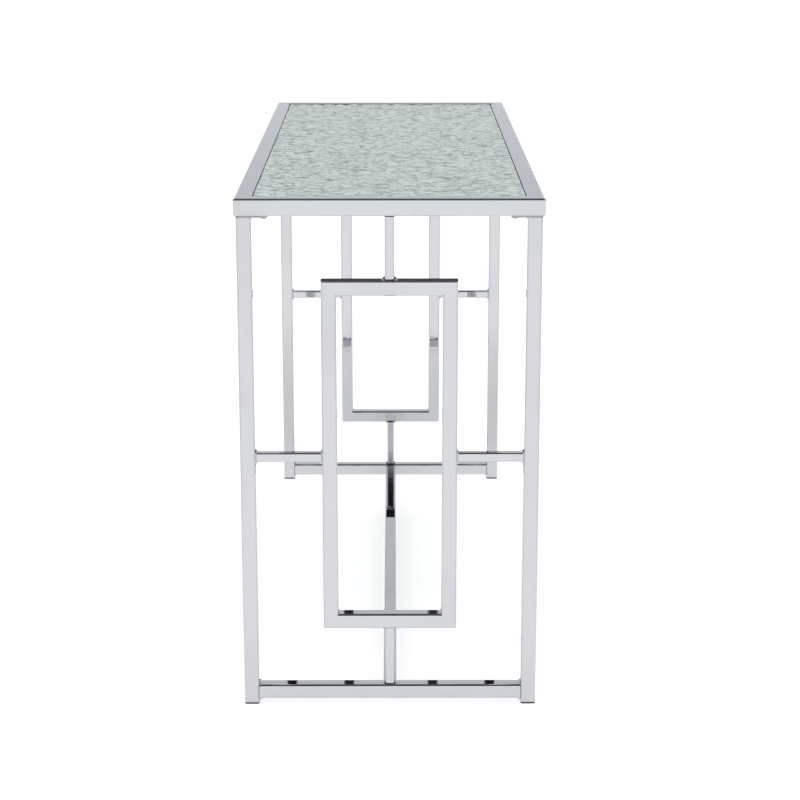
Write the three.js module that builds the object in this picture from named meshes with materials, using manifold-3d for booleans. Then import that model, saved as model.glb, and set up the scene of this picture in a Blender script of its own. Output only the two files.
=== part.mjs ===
// Console table: four mitred top rails around an inset glass pane, standing on two
// welded end frames that one low stretcher ties together.
//
// Units are millimetres. The origin is on the floor under the middle of the table.
// X runs along the length, Y across the width and Z is up. The table's front is the
// long side facing -Y, so its left end is at -X and its right end at +X.

import * as THREE from 'three';
import { mergeVertices } from 'three/addons/utils/BufferGeometryUtils.js';
import Module from 'manifold-3d';

const wasm = await Module();
wasm.setup();

// ---------------------------------------------------------------------------
// Driving dimensions
// ---------------------------------------------------------------------------

// The whole table.
const LENGTH = 1200;
const WIDTH = 440;
const HEIGHT = 762;

// Square steel tubes: outer side, wall and outer corner radius.
const TOP_TUBE = { side: 25, wall: 1.5, radius: 3 };
const FRAME_TUBE = { side: 22, wall: 1.25, radius: 3 };
const POST_TUBE = { side: 14, wall: 1, radius: 2.5 };
const STRETCHER_TUBE = { side: 20, wall: 1.25, radius: 2.5 };

// End frames: the legs stand a little inside the top's outline, and a tall open
// panel of mitred tube hangs between them on two side bars and two posts.
const LEG_INSET = 3;
const FLOOR_RAIL_BOTTOM = 8.5;
const PANEL_WIDTH = 196;
const PANEL_BOTTOM = 120;
const PANEL_TOP = 644;
const POST_PAD_HEIGHT = 2;
const STRETCHER_BOTTOM = 9.5;

// Tab plates on the legs, which the top's screws pass through.
const TAB_LENGTH = 45;
const TAB_THICKNESS = 2.5;
const TAB_SCREW_FROM_LEG = 17.5;

// Plastic glides: a foot under each leg with a plug pushed up inside the tube.
const GLIDE_HEIGHT = 3;
const GLIDE_PLUG_HEIGHT = 12;
const GLIDE_PLUG_GAP = 0.25;
const GLIDE_PLUG_RADIUS = 2;
const GLIDE_RADIUS = 3;

// Glass pane, the ledges welded inside the top rails, and the pads between them.
const GLASS_THICKNESS = 6;
const GLASS_BELOW_RIM = 0.5;
const GLASS_EDGE_GAP = 1;
const GLASS_CORNER_RADIUS = 3;
const GLASS_PAD_THICKNESS = 1;
const GLASS_PAD_RADIUS = 5;
const GLASS_PAD_FROM_END = 60;
const LEDGE_WIDTH = 12;
const LEDGE_THICKNESS = 2;

// Button-head screws, the nuts welded inside the top rails, and the spigots that
// the stretcher slides over.
const SCREW_RADIUS = 2.5;
const SCREW_CHAMFER = 0.75;
const SCREW_HEAD_RADIUS = 4.75;
const SCREW_HEAD_HEIGHT = 2.75;
const SCREW_CROWN_RADIUS = 2.6;
const SCREW_SHOULDER_RADIUS = 4.1;
const SCREW_SHOULDER_HEIGHT = 2;
const SCREW_SKIRT_HEIGHT = 0.55;
const TAB_SCREW_LENGTH = 9;
const STRETCHER_SCREW_LENGTH = 10;
const HOLE_RADIUS = 2.75;
const NUT_CORNER_RADIUS = 4.5;
const NUT_HEIGHT = 4;
const SPIGOT_SIDE = 17;
const SPIGOT_RADIUS = 1.5;
const SPIGOT_LENGTH = 40;
const SPIGOT_HOLE_DEPTH = 11;

// How finely curves are cut into flats.
const CORNER_SEGMENTS = 2;
const ROUND_SEGMENTS = 20;

// Places worked out from the sizes above.
const UNDERSIDE = HEIGHT - TOP_TUBE.side;
const LEG_TOP = UNDERSIDE - TAB_THICKNESS;
const LEG_X = LENGTH / 2 - LEG_INSET - FRAME_TUBE.side / 2;
const LEG_Y = WIDTH / 2 - LEG_INSET - FRAME_TUBE.side / 2;
const LEG_INNER_Y = LEG_Y - FRAME_TUBE.side / 2;
const FLOOR_RAIL_TOP = FLOOR_RAIL_BOTTOM + FRAME_TUBE.side;
const PANEL_MIDDLE = (PANEL_BOTTOM + PANEL_TOP) / 2;
const TAB_SCREW_Y = LEG_INNER_Y - TAB_SCREW_FROM_LEG;
const RIM_INNER_X = LENGTH / 2 - TOP_TUBE.side;
const RIM_INNER_Y = WIDTH / 2 - TOP_TUBE.side;
const GLASS_TOP = HEIGHT - GLASS_BELOW_RIM;
const LEDGE_TOP = GLASS_TOP - GLASS_THICKNESS - GLASS_PAD_THICKNESS;
const STRETCHER_END = LEG_X - FRAME_TUBE.side / 2;

const QUARTER_TURN = Math.PI / 2;

// ---------------------------------------------------------------------------
// Materials
// ---------------------------------------------------------------------------

const chrome = () => new THREE.MeshStandardMaterial({ color: 0xd9dbdf, roughness: 0.07, metalness: 1 });
const zincSteel = () => new THREE.MeshStandardMaterial({ color: 0x9a9c9f, roughness: 0.35, metalness: 1 });
const greenGlass = () => new THREE.MeshStandardMaterial({ color: 0xc3ccca, roughness: 0.12, metalness: 0 });
const blackPlastic = () => new THREE.MeshStandardMaterial({ color: 0x2a2a2c, roughness: 0.6, metalness: 0 });
const clearRubber = () => new THREE.MeshStandardMaterial({ color: 0xd8dcda, roughness: 0.4, metalness: 0 });

// ---------------------------------------------------------------------------
// Shapes
// ---------------------------------------------------------------------------

// A rectangle with round corners, centred on the origin.
function roundedRectangle(width, height, radius) {
  const x = width / 2 - radius;
  const y = height / 2 - radius;
  const shape = new THREE.Shape();
  shape.absarc(x, y, radius, 0, QUARTER_TURN);
  shape.absarc(-x, y, radius, QUARTER_TURN, 2 * QUARTER_TURN);
  shape.absarc(-x, -y, radius, 2 * QUARTER_TURN, 3 * QUARTER_TURN);
  shape.absarc(x, -y, radius, 3 * QUARTER_TURN, 4 * QUARTER_TURN);
  shape.closePath();
  return shape;
}

// The outline raised along +Z from the XY plane.
function extrude(shape, depth) {
  return new THREE.ExtrudeGeometry(shape, { depth, bevelEnabled: false, curveSegments: CORNER_SEGMENTS });
}

// A square tube, open at both ends, standing on the XY plane.
function tubeGeometry(tube, length) {
  const section = roundedRectangle(tube.side, tube.side, tube.radius);
  const boreSide = tube.side - 2 * tube.wall;
  section.holes.push(roundedRectangle(boreSide, boreSide, tube.radius - tube.wall));
  return extrude(section, length);
}

// Lays a shape that stands on the XY plane along X, with its middle at the origin.
function layAlongX(geometry, length) {
  geometry.translate(0, 0, -length / 2);
  geometry.rotateY(QUARTER_TURN);
  return geometry;
}

// A square tube along X whose ends are cut at 45 degrees, longest on its +Y face.
function mitredTubeGeometry(tube, length) {
  const geometry = layAlongX(tubeGeometry(tube, length), length);
  const corners = geometry.attributes.position;
  for (let i = 0; i < corners.count; i += 1) {
    const inset = tube.side / 2 - corners.getY(i);
    corners.setX(i, Math.sign(corners.getX(i)) * (length / 2 - inset));
  }
  return geometry;
}

// A screw along Y: the head's bearing face is at zero and the shank points up.
function screwGeometry(length) {
  const profile = [
    new THREE.Vector2(0, -SCREW_HEAD_HEIGHT),
    new THREE.Vector2(SCREW_CROWN_RADIUS, -SCREW_HEAD_HEIGHT),
    new THREE.Vector2(SCREW_SHOULDER_RADIUS, -SCREW_SHOULDER_HEIGHT),
    new THREE.Vector2(SCREW_HEAD_RADIUS, -SCREW_SKIRT_HEIGHT),
    new THREE.Vector2(SCREW_HEAD_RADIUS, 0),
    new THREE.Vector2(SCREW_RADIUS, 0),
    new THREE.Vector2(SCREW_RADIUS, length - SCREW_CHAMFER),
    new THREE.Vector2(SCREW_RADIUS - SCREW_CHAMFER, length),
    new THREE.Vector2(0, length),
  ];
  return new THREE.LatheGeometry(profile, ROUND_SEGMENTS);
}

// ---------------------------------------------------------------------------
// Cutting and joining
// ---------------------------------------------------------------------------

function toSolid(geometry) {
  const bare = geometry.clone();
  bare.deleteAttribute('normal');
  bare.deleteAttribute('uv');
  const merged = mergeVertices(bare);
  const vertProperties = Float32Array.from(merged.attributes.position.array);
  const triVerts = Uint32Array.from(merged.index.array);
  return new wasm.Manifold(new wasm.Mesh({ numProp: 3, vertProperties, triVerts }));
}

function toGeometry(solid) {
  const { vertProperties, triVerts } = solid.getMesh();
  const geometry = new THREE.BufferGeometry();
  geometry.setAttribute('position', new THREE.BufferAttribute(vertProperties, 3));
  geometry.setIndex(new THREE.BufferAttribute(triVerts, 1));
  geometry.computeVertexNormals();
  return geometry;
}

// Screw holes along Z through the geometry, each given by its middle point.
function drill(geometry, depth, centres) {
  let solid = toSolid(geometry);
  for (const centre of centres) {
    const drillBit = new THREE.CylinderGeometry(HOLE_RADIUS, HOLE_RADIUS, depth, ROUND_SEGMENTS);
    drillBit.rotateX(QUARTER_TURN);
    drillBit.translate(centre.x, centre.y, centre.z);
    solid = solid.subtract(toSolid(drillBit));
  }
  return toGeometry(solid);
}

// ---------------------------------------------------------------------------
// Assembly
// ---------------------------------------------------------------------------

function addPiece(parent, name, geometry, material, x, y, z) {
  const mesh = new THREE.Mesh(geometry, material);
  mesh.name = name;
  mesh.position.set(x, y, z);
  parent.add(mesh);
  return mesh;
}

// Tubes standing up from z, and lying along X or along Y around their middle.
function addUprightTube(parent, name, tube, x, y, bottom, top) {
  addPiece(parent, name, tubeGeometry(tube, top - bottom), chrome(), x, y, bottom);
}

function addCrossTube(parent, name, tube, from, to, x, z) {
  const mesh = addPiece(parent, name, tubeGeometry(tube, to - from), chrome(), x, from, z);
  mesh.rotation.x = -QUARTER_TURN;
}

// A frame of four mitred tubes in the parent's XY plane.
function addMitredFrame(parent, names, tube, sizeX, sizeY, drillSides) {
  const sides = [
    { name: names.plusY, length: sizeX, x: 0, y: sizeY, turn: 0 },
    { name: names.minusX, length: sizeY, x: -sizeX, y: 0, turn: 1 },
    { name: names.minusY, length: sizeX, x: 0, y: -sizeY, turn: 2 },
    { name: names.plusX, length: sizeY, x: sizeX, y: 0, turn: 3 },
  ];
  for (const side of sides) {
    let geometry = mitredTubeGeometry(tube, side.length);
    if (side.x !== 0 && drillSides) {
      geometry = drillSides(geometry);
    }
    const x = side.x / 2 - Math.sign(side.x) * tube.side / 2;
    const y = side.y / 2 - Math.sign(side.y) * tube.side / 2;
    const mesh = addPiece(parent, side.name, geometry, chrome(), x, y, 0);
    mesh.rotation.z = side.turn * QUARTER_TURN;
  }
}

// The top: rim, ledges, pads and glass.
function buildTop() {
  const top = new THREE.Group();

  const rim = new THREE.Group();
  rim.position.z = HEIGHT - TOP_TUBE.side / 2;
  const rimNames = {
    plusX: 'top_rail_right',
    minusX: 'top_rail_left',
    plusY: 'top_rail_back',
    minusY: 'top_rail_front',
  };
  const railMiddle = LENGTH / 2 - TOP_TUBE.side / 2;
  const screwHoles = [-1, 1].map((side) => new THREE.Vector3(
    side * TAB_SCREW_Y,
    LEG_X - railMiddle,
    (TOP_TUBE.wall - TOP_TUBE.side) / 2,
  ));
  const drillEndRail = (geometry) => drill(geometry, 2 * TOP_TUBE.wall, screwHoles);
  addMitredFrame(rim, rimNames, TOP_TUBE, LENGTH, WIDTH, drillEndRail);
  top.add(rim);

  const ledgeZ = LEDGE_TOP - LEDGE_THICKNESS / 2;
  const ledgeY = RIM_INNER_Y - LEDGE_WIDTH / 2;
  const ledgeX = RIM_INNER_X - LEDGE_WIDTH / 2;
  const longLedge = () => new THREE.BoxGeometry(2 * RIM_INNER_X, LEDGE_WIDTH, LEDGE_THICKNESS);
  const shortLedgeLength = 2 * (RIM_INNER_Y - LEDGE_WIDTH);
  const shortLedge = () => new THREE.BoxGeometry(LEDGE_WIDTH, shortLedgeLength, LEDGE_THICKNESS);
  addPiece(top, 'glass_ledge_front', longLedge(), chrome(), 0, -ledgeY, ledgeZ);
  addPiece(top, 'glass_ledge_back', longLedge(), chrome(), 0, ledgeY, ledgeZ);
  addPiece(top, 'glass_ledge_left', shortLedge(), chrome(), -ledgeX, 0, ledgeZ);
  addPiece(top, 'glass_ledge_right', shortLedge(), chrome(), ledgeX, 0, ledgeZ);

  const padX = RIM_INNER_X - GLASS_PAD_FROM_END;
  for (const [row, y] of [['front', -ledgeY], ['back', ledgeY]]) {
    for (const [column, x] of [['left', -padX], ['middle', 0], ['right', padX]]) {
      const disc = new THREE.CylinderGeometry(
        GLASS_PAD_RADIUS, GLASS_PAD_RADIUS, GLASS_PAD_THICKNESS, ROUND_SEGMENTS);
      const padZ = LEDGE_TOP + GLASS_PAD_THICKNESS / 2;
      const pad = addPiece(top, `glass_pad_${row}_${column}`, disc, clearRubber(), x, y, padZ);
      pad.rotation.x = QUARTER_TURN;
    }
  }

  const glassOutline = roundedRectangle(
    2 * (RIM_INNER_X - GLASS_EDGE_GAP), 2 * (RIM_INNER_Y - GLASS_EDGE_GAP), GLASS_CORNER_RADIUS);
  const glass = extrude(glassOutline, GLASS_THICKNESS);
  addPiece(top, 'glass_pane', glass, greenGlass(), 0, 0, GLASS_TOP - GLASS_THICKNESS);
  return top;
}

// The open panel in the middle of an end frame, standing in the YZ plane.
function buildPanel(end) {
  const panel = new THREE.Group();
  panel.rotation.set(QUARTER_TURN, 0, QUARTER_TURN, 'ZYX');
  panel.position.z = PANEL_MIDDLE;
  const names = {
    plusX: `${end}_panel_back`,
    minusX: `${end}_panel_front`,
    plusY: `${end}_panel_top`,
    minusY: `${end}_panel_bottom`,
  };
  addMitredFrame(panel, names, FRAME_TUBE, PANEL_WIDTH, PANEL_TOP - PANEL_BOTTOM);
  return panel;
}

// A leg with the tab plate, screw and nut at its top and the glide at its foot.
function buildLeg(end, row, side) {
  const leg = new THREE.Group();
  leg.position.y = side * LEG_Y;
  addUprightTube(leg, `${end}_leg_${row}`, FRAME_TUBE, 0, 0, GLIDE_HEIGHT, LEG_TOP);

  const screwFromLeg = TAB_SCREW_Y - LEG_Y;
  const tabMiddle = FRAME_TUBE.side / 2 - TAB_LENGTH / 2;
  const plate = new THREE.BoxGeometry(FRAME_TUBE.side, TAB_LENGTH, TAB_THICKNESS);
  const hole = new THREE.Vector3(0, side * (screwFromLeg - tabMiddle), 0);
  const tab = drill(plate, 2 * TAB_THICKNESS, [hole]);
  const tabZ = LEG_TOP + TAB_THICKNESS / 2;
  addPiece(leg, `${end}_tab_${row}`, tab, chrome(), 0, side * tabMiddle, tabZ);

  const screwName = `${end}_tab_screw_${row}`;
  const screwShape = screwGeometry(TAB_SCREW_LENGTH);
  const screw = addPiece(leg, screwName, screwShape, zincSteel(), 0, side * screwFromLeg, LEG_TOP);
  screw.rotation.x = QUARTER_TURN;

  const blank = new THREE.CylinderGeometry(NUT_CORNER_RADIUS, NUT_CORNER_RADIUS, NUT_HEIGHT, 6);
  blank.rotateX(QUARTER_TURN);
  const nut = drill(blank, 2 * NUT_HEIGHT, [new THREE.Vector3(0, 0, 0)]);
  const nutZ = UNDERSIDE + TOP_TUBE.wall + NUT_HEIGHT / 2;
  addPiece(leg, `${end}_tab_nut_${row}`, nut, zincSteel(), 0, side * screwFromLeg, nutZ);

  const foot = extrude(roundedRectangle(FRAME_TUBE.side, FRAME_TUBE.side, GLIDE_RADIUS), GLIDE_HEIGHT);
  const plugSide = FRAME_TUBE.side - 2 * (FRAME_TUBE.wall + GLIDE_PLUG_GAP);
  const plug = extrude(roundedRectangle(plugSide, plugSide, GLIDE_PLUG_RADIUS), GLIDE_PLUG_HEIGHT);
  plug.translate(0, 0, GLIDE_HEIGHT);
  const glide = toGeometry(toSolid(foot).add(toSolid(plug)));
  addPiece(leg, `${end}_glide_${row}`, glide, blackPlastic(), 0, 0, 0);
  return leg;
}

// The spigot welded inside the floor rail, and the screw that holds the stretcher on it.
function addStretcherFixing(parent, end, inward) {
  const spigotFace = FRAME_TUBE.side / 2;
  const spigotX = inward * (spigotFace + SPIGOT_LENGTH / 2);
  const stretcherZ = STRETCHER_BOTTOM + STRETCHER_TUBE.side / 2;
  const barSection = roundedRectangle(SPIGOT_SIDE, SPIGOT_SIDE, SPIGOT_RADIUS);
  const bar = layAlongX(extrude(barSection, SPIGOT_LENGTH), SPIGOT_LENGTH);
  const hole = new THREE.Vector3(0, 0, -SPIGOT_SIDE / 2);
  const spigot = drill(bar, 2 * SPIGOT_HOLE_DEPTH, [hole]);
  addPiece(parent, `${end}_stretcher_spigot`, spigot, zincSteel(), spigotX, 0, stretcherZ);

  const screwShape = screwGeometry(STRETCHER_SCREW_LENGTH);
  const screwName = `${end}_stretcher_screw`;
  const screw = addPiece(parent, screwName, screwShape, zincSteel(), spigotX, 0, STRETCHER_BOTTOM);
  screw.rotation.x = QUARTER_TURN;
}

// One welded end frame, around its own middle plane.
function buildEndFrame(end, outward) {
  const frame = new THREE.Group();
  frame.position.x = outward * LEG_X;
  const floorRailZ = FLOOR_RAIL_BOTTOM + FRAME_TUBE.side / 2;
  addCrossTube(frame, `${end}_floor_rail`, FRAME_TUBE, -LEG_INNER_Y, LEG_INNER_Y, 0, floorRailZ);
  frame.add(buildPanel(end));
  for (const [row, side] of [['front', -1], ['back', 1]]) {
    frame.add(buildLeg(end, row, side));
    const barEnds = [side * LEG_INNER_Y, side * PANEL_WIDTH / 2];
    const from = Math.min(...barEnds);
    const to = Math.max(...barEnds);
    addCrossTube(frame, `${end}_side_bar_${row}`, POST_TUBE, from, to, 0, PANEL_MIDDLE);
  }
  addUprightTube(frame, `${end}_lower_post`, POST_TUBE, 0, 0, FLOOR_RAIL_TOP, PANEL_BOTTOM);
  const padBottom = UNDERSIDE - POST_PAD_HEIGHT;
  addUprightTube(frame, `${end}_upper_post`, POST_TUBE, 0, 0, PANEL_TOP, padBottom);
  const pad = extrude(roundedRectangle(POST_TUBE.side, POST_TUBE.side, POST_TUBE.radius), POST_PAD_HEIGHT);
  addPiece(frame, `${end}_post_pad`, pad, blackPlastic(), 0, 0, padBottom);
  addStretcherFixing(frame, end, -outward);
  return frame;
}

// The stretcher, drilled from below for its two screws.
function buildStretcher() {
  const stretcher = new THREE.Group();
  const length = 2 * STRETCHER_END;
  const tube = layAlongX(tubeGeometry(STRETCHER_TUBE, length), length);
  const screwX = STRETCHER_END - SPIGOT_LENGTH / 2;
  const wallMiddle = (STRETCHER_TUBE.wall - STRETCHER_TUBE.side) / 2;
  const holes = [-1, 1].map((side) => new THREE.Vector3(side * screwX, 0, wallMiddle));
  const drilled = drill(tube, 2 * STRETCHER_TUBE.wall, holes);
  const middleZ = STRETCHER_BOTTOM + STRETCHER_TUBE.side / 2;
  addPiece(stretcher, 'stretcher', drilled, chrome(), 0, 0, middleZ);
  return stretcher;
}

const table = new THREE.Group();
table.add(buildTop());
table.add(buildEndFrame('left', -1));
table.add(buildEndFrame('right', 1));
table.add(buildStretcher());

export default table;
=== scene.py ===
# %% [markdown]
# # A chrome and glass console table
#
# The table is a knock-down piece of furniture: a rim of mitred square tube holds a pane of
# textured glass, and it stands on two welded end frames that a low stretcher ties together.
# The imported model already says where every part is, so each piece below is built inside the
# box that its part has there.

# %% Load the frame
import math

import bmesh
import bpy
import numpy as np
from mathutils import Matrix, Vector, noise


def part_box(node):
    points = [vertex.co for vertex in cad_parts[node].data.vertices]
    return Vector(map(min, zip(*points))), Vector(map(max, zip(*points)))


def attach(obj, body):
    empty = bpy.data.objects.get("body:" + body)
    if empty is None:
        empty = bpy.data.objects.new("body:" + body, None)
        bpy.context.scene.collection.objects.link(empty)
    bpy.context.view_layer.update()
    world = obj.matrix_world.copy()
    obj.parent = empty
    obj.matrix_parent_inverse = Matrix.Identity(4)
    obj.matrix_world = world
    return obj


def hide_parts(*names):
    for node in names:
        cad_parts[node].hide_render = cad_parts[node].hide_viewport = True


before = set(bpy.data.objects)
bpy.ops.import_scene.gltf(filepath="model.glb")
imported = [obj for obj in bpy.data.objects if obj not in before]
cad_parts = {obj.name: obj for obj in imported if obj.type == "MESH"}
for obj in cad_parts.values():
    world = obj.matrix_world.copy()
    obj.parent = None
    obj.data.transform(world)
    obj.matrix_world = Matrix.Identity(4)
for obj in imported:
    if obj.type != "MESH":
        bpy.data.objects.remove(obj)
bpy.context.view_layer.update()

MM = 0.001
ENDS = ("left", "right")
ROWS = ("front", "back")
print("parts in the frame:", len(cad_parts))

# %% [markdown]
# ## Camera
#
# The table is looked at end on, from a little above its top, with a long lens. A long lens
# from far away keeps the far end frame almost as large as the near one. The camera aims at a
# point near the middle of the table and has no lens shift, so it can be moved anywhere.

# %% Camera
CAMERA_PLACE = Vector((3.514, 0.005, 1.225))
CAMERA_AIM = Vector((0.0, 0.017, 0.315))
CAMERA_LENS = 94.2
CAMERA_SENSOR = 36.0
CAMERA_SIGHT = 200.0


def make_camera():
    data = bpy.data.cameras.new("camera")
    data.lens = CAMERA_LENS
    data.sensor_width = CAMERA_SENSOR
    data.clip_end = CAMERA_SIGHT
    camera = bpy.data.objects.new("camera", data)
    camera.location = CAMERA_PLACE
    camera.rotation_mode = "QUATERNION"
    camera.rotation_quaternion = (CAMERA_AIM - CAMERA_PLACE).to_track_quat("-Z", "Y")
    bpy.context.scene.collection.objects.link(camera)
    bpy.context.scene.camera = camera
    return camera


camera = make_camera()
print("camera distance to its aim:", round((CAMERA_AIM - CAMERA_PLACE).length, 3), "m")

# %% [markdown]
# ## Shader sums in plain Python
#
# A finish is a small program made of nodes. They could be placed and linked one by one, but
# sums are easier to read and change: `Value` wraps one output socket and overloads the
# arithmetic operators, so a sum such as `1 - haze * 0.5` adds its own Math nodes. Every other
# node comes from `Recipe.node`, which sets the node's settings first and its sockets after.

# %% Socket arithmetic
class Value:
    """A number that varies over a surface: one output socket that can be used in sums."""

    def __init__(self, recipe, output):
        self.recipe = recipe
        self.output = output

    def sum_node(self, operation, left, right):
        node = self.recipe.node("ShaderNodeMath", {"operation": operation}, {0: left, 1: right})
        return Value(self.recipe, node.outputs[0])

    def __add__(self, other):
        return self.sum_node("ADD", self, other)

    def __radd__(self, other):
        return self.sum_node("ADD", other, self)

    def __sub__(self, other):
        return self.sum_node("SUBTRACT", self, other)

    def __rsub__(self, other):
        return self.sum_node("SUBTRACT", other, self)

    def __mul__(self, other):
        return self.sum_node("MULTIPLY", self, other)

    def __rmul__(self, other):
        return self.sum_node("MULTIPLY", other, self)

    def __abs__(self):
        return self.sum_node("ABSOLUTE", self, 0.0)


# %% Node recipes
class Recipe:
    """The node tree of one finish. All of its nodes are added here."""

    def __init__(self, tree):
        self.tree = tree

    def node(self, kind, settings=None, sockets=None):
        node = self.tree.nodes.new(kind)
        for key, setting in (settings or {}).items():
            if key == "stops":
                self.set_stops(node.color_ramp, setting)
            else:
                setattr(node, key, setting)
        for key, value in (sockets or {}).items():
            self.feed(node.inputs[key], value)
        return node

    def set_stops(self, ramp, stops):
        while len(ramp.elements) < len(stops):
            ramp.elements.new(1.0)
        for element, (position, colour) in zip(ramp.elements, stops):
            element.position = position
            element.color = (*colour, 1.0)

    def feed(self, socket, value):
        if isinstance(value, Value):
            self.tree.links.new(value.output, socket)
        elif isinstance(value, bpy.types.NodeSocket):
            self.tree.links.new(value, socket)
        elif socket.type == "RGBA" and len(value) == 3:
            socket.default_value = (*value, 1.0)
        else:
            socket.default_value = value

    def place(self):
        """The point on the piece, in metres in the table's own frame."""
        return self.node("ShaderNodeTexCoord").outputs["Object"]

    def stretched(self, vector, factors):
        """The point with each of its directions scaled, which stretches a pattern along it."""
        node = self.node("ShaderNodeVectorMath", {"operation": "MULTIPLY"}, {0: vector, 1: factors})
        return node.outputs[0]

    def cloud(self, vector, scale, detail=2.0, roughness=0.5):
        """Soft noise between 0 and 1."""
        sockets = {"Vector": vector, "Scale": scale, "Detail": detail, "Roughness": roughness}
        return Value(self, self.node("ShaderNodeTexNoise", {}, sockets).outputs[0])

    def between(self, value, low, high):
        """The value rescaled so that low becomes 0 and high becomes 1, and clamped there."""
        sockets = {"Value": value, "From Min": low, "From Max": high}
        return Value(self, self.node("ShaderNodeMapRange", {"clamp": True}, sockets).outputs[0])

    def blend(self, amount, first, second):
        """A colour between two colours."""
        node = self.node("ShaderNodeMix", {"data_type": "RGBA"}, {0: amount, 6: first, 7: second})
        return node.outputs[2]

    def bump(self, height, depth, after=None):
        """A normal tilted by a height pattern whose full range is depth metres."""
        sockets = {"Height": height, "Distance": depth, "Strength": 1.0}
        if after is not None:
            sockets["Normal"] = after
        return self.node("ShaderNodeBump", {}, sockets).outputs[0]


class Finish(Recipe):
    """A material: a recipe around one Principled shader with the uniform values set on it."""

    def __init__(self, name, uniform):
        self.material = bpy.data.materials.new(name)
        self.material.use_nodes = True
        super().__init__(self.material.node_tree)
        self.shader = self.tree.nodes["Principled BSDF"]
        for socket_name, value in uniform.items():
            self.feed(self.shader.inputs[socket_name], value)

    def paint(self, **varying):
        """Feeds what varies over the surface. Base_Color=... feeds the socket Base Color."""
        for name, value in varying.items():
            self.feed(self.shader.inputs[name.replace("_", " ")], value)
        print("finish", self.material.name, "has", len(self.tree.nodes), "nodes")
        return self.material


# %% [markdown]
# ## Mirror chrome
#
# The tubes are steel, polished and then plated with nickel and chromium. Chromium is a
# slightly blue metal that reflects a little over half of the light. The plate is never optically
# flat: it has a faint orange peel a few millimetres across, and handling leaves a thin haze.
# Both are small numbers here, because a mirror shows every hundredth of a degree.

# %% Chrome finish
CHROME_COLOUR = (0.552, 0.558, 0.575)
CHROME_HAZE_COLOUR = (0.525, 0.533, 0.552)
SMUDGE_SCALE = 9.0
PEEL_SCALE = 150.0
PEEL_DEPTH = 0.008 * MM
WELD_PEEL_DEPTH = 0.12 * MM


def chrome_finish(name, peel_depth, smooth, hazy):
    finish = Finish(name, {"Metallic": 1.0})
    place = finish.place()
    smudge = finish.cloud(place, SMUDGE_SCALE, detail=4.0, roughness=0.6)
    haze = finish.between(smudge, 0.48, 0.72)
    fine = finish.cloud(place, PEEL_SCALE * 6, detail=1.0)
    peel = finish.cloud(place, PEEL_SCALE, detail=1.0)
    return finish.paint(
        Base_Color=finish.blend(haze, CHROME_COLOUR, CHROME_HAZE_COLOUR),
        Roughness=haze * (hazy - smooth) + fine * 0.01 + smooth,
        Normal=finish.bump(peel, peel_depth),
    )


polished_chrome = chrome_finish("polished_chrome", PEEL_DEPTH, smooth=0.012, hazy=0.045)
weld_chrome = chrome_finish("weld_chrome", WELD_PEEL_DEPTH, smooth=0.07, hazy=0.14)

# %% [markdown]
# The tab plates under the rim are plated with the rest, but nobody polishes them first. Chrome
# over rolled steel stays grey and satin, with darker patches and a grain along the way that
# the strip was rolled. The grain is soft noise stretched along Y.

# %% Unpolished plate finish
ROLLED_PALE = (0.46, 0.46, 0.47)
ROLLED_DARK = (0.33, 0.33, 0.34)
ROLLED_PATCHES = 120.0
ROLLED_GRAIN = 1500.0
ALONG_Y = (1.0, 0.2, 1.0)


def rolled_plate_finish():
    finish = Finish("rolled_plate", {"Metallic": 1.0})
    place = finish.place()
    cloudy = finish.cloud(place, ROLLED_PATCHES, detail=4.0, roughness=0.65)
    patches = finish.between(cloudy, 0.35, 0.7)
    grain = finish.cloud(finish.stretched(place, ALONG_Y), ROLLED_GRAIN, detail=2.0)
    return finish.paint(
        Base_Color=finish.blend(patches, ROLLED_PALE, ROLLED_DARK),
        Roughness=patches * 0.2 + 0.32,
        Normal=finish.bump(grain, 0.03 * MM),
    )


rolled_plate = rolled_plate_finish()

# %% [markdown]
# ## Zinc-plated steel
#
# Screws, nuts and spigots hardly show, so the maker only gives them zinc. Against chrome it
# looks dark and dull, and it is clouded where the bath left the plate thicker.

# %% Zinc finish
ZINC_PALE = (0.34, 0.345, 0.345)
ZINC_DARK = (0.24, 0.245, 0.255)
ZINC_CLOUDS = 260.0
ZINC_GRAIN = 2500.0


def zinc_finish():
    finish = Finish("bright_zinc", {"Metallic": 1.0})
    place = finish.place()
    patch = finish.between(finish.cloud(place, ZINC_CLOUDS, detail=3.0), 0.35, 0.65)
    grain = finish.cloud(place, ZINC_GRAIN, detail=1.0)
    return finish.paint(
        Base_Color=finish.blend(patch, ZINC_PALE, ZINC_DARK),
        Roughness=patch * 0.10 + 0.10,
        Normal=finish.bump(grain, 0.01 * MM),
    )


bright_zinc = zinc_finish()

# %% [markdown]
# ## Black mouldings
#
# The glides and the pads under the rim are moulded plastic. The mould was lightly sparked, so
# the surface has a fine even grain. Its pits are darker than its raised points, a painted shade
# that follows the grain's bumps. The clear bumpers under the glass are moulded too, and the same recipe
# makes them in pale grey.

# %% Moulded plastic finish
PLASTIC_PIT_SHADE = (0.010, 0.010, 0.011)
PLASTIC_POINTS = (0.032, 0.032, 0.034)
RUBBER_PIT_SHADE = (0.62, 0.65, 0.64)
RUBBER_POINTS = (0.74, 0.77, 0.76)
SPARK_DEPTH = 0.06 * MM


def moulded_finish(name, pit_shade, raised, grain_scale):
    finish = Finish(name, {"Metallic": 0.0, "IOR": 1.46})
    place = finish.place()
    grain = finish.cloud(place, grain_scale, detail=2.0, roughness=0.7)
    points = finish.between(grain, 0.45, 0.7)
    # Darker pits are painted shade: the colour follows the same grain as the bump.
    return finish.paint(
        Base_Color=finish.blend(points, pit_shade, raised),
        Roughness=0.62 - points * 0.16,
        Normal=finish.bump(grain, SPARK_DEPTH),
    )


black_plastic = moulded_finish("black_plastic", PLASTIC_PIT_SHADE, PLASTIC_POINTS, grain_scale=2200.0)
clear_rubber = moulded_finish("clear_rubber", RUBBER_PIT_SHADE, RUBBER_POINTS, grain_scale=900.0)
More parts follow.
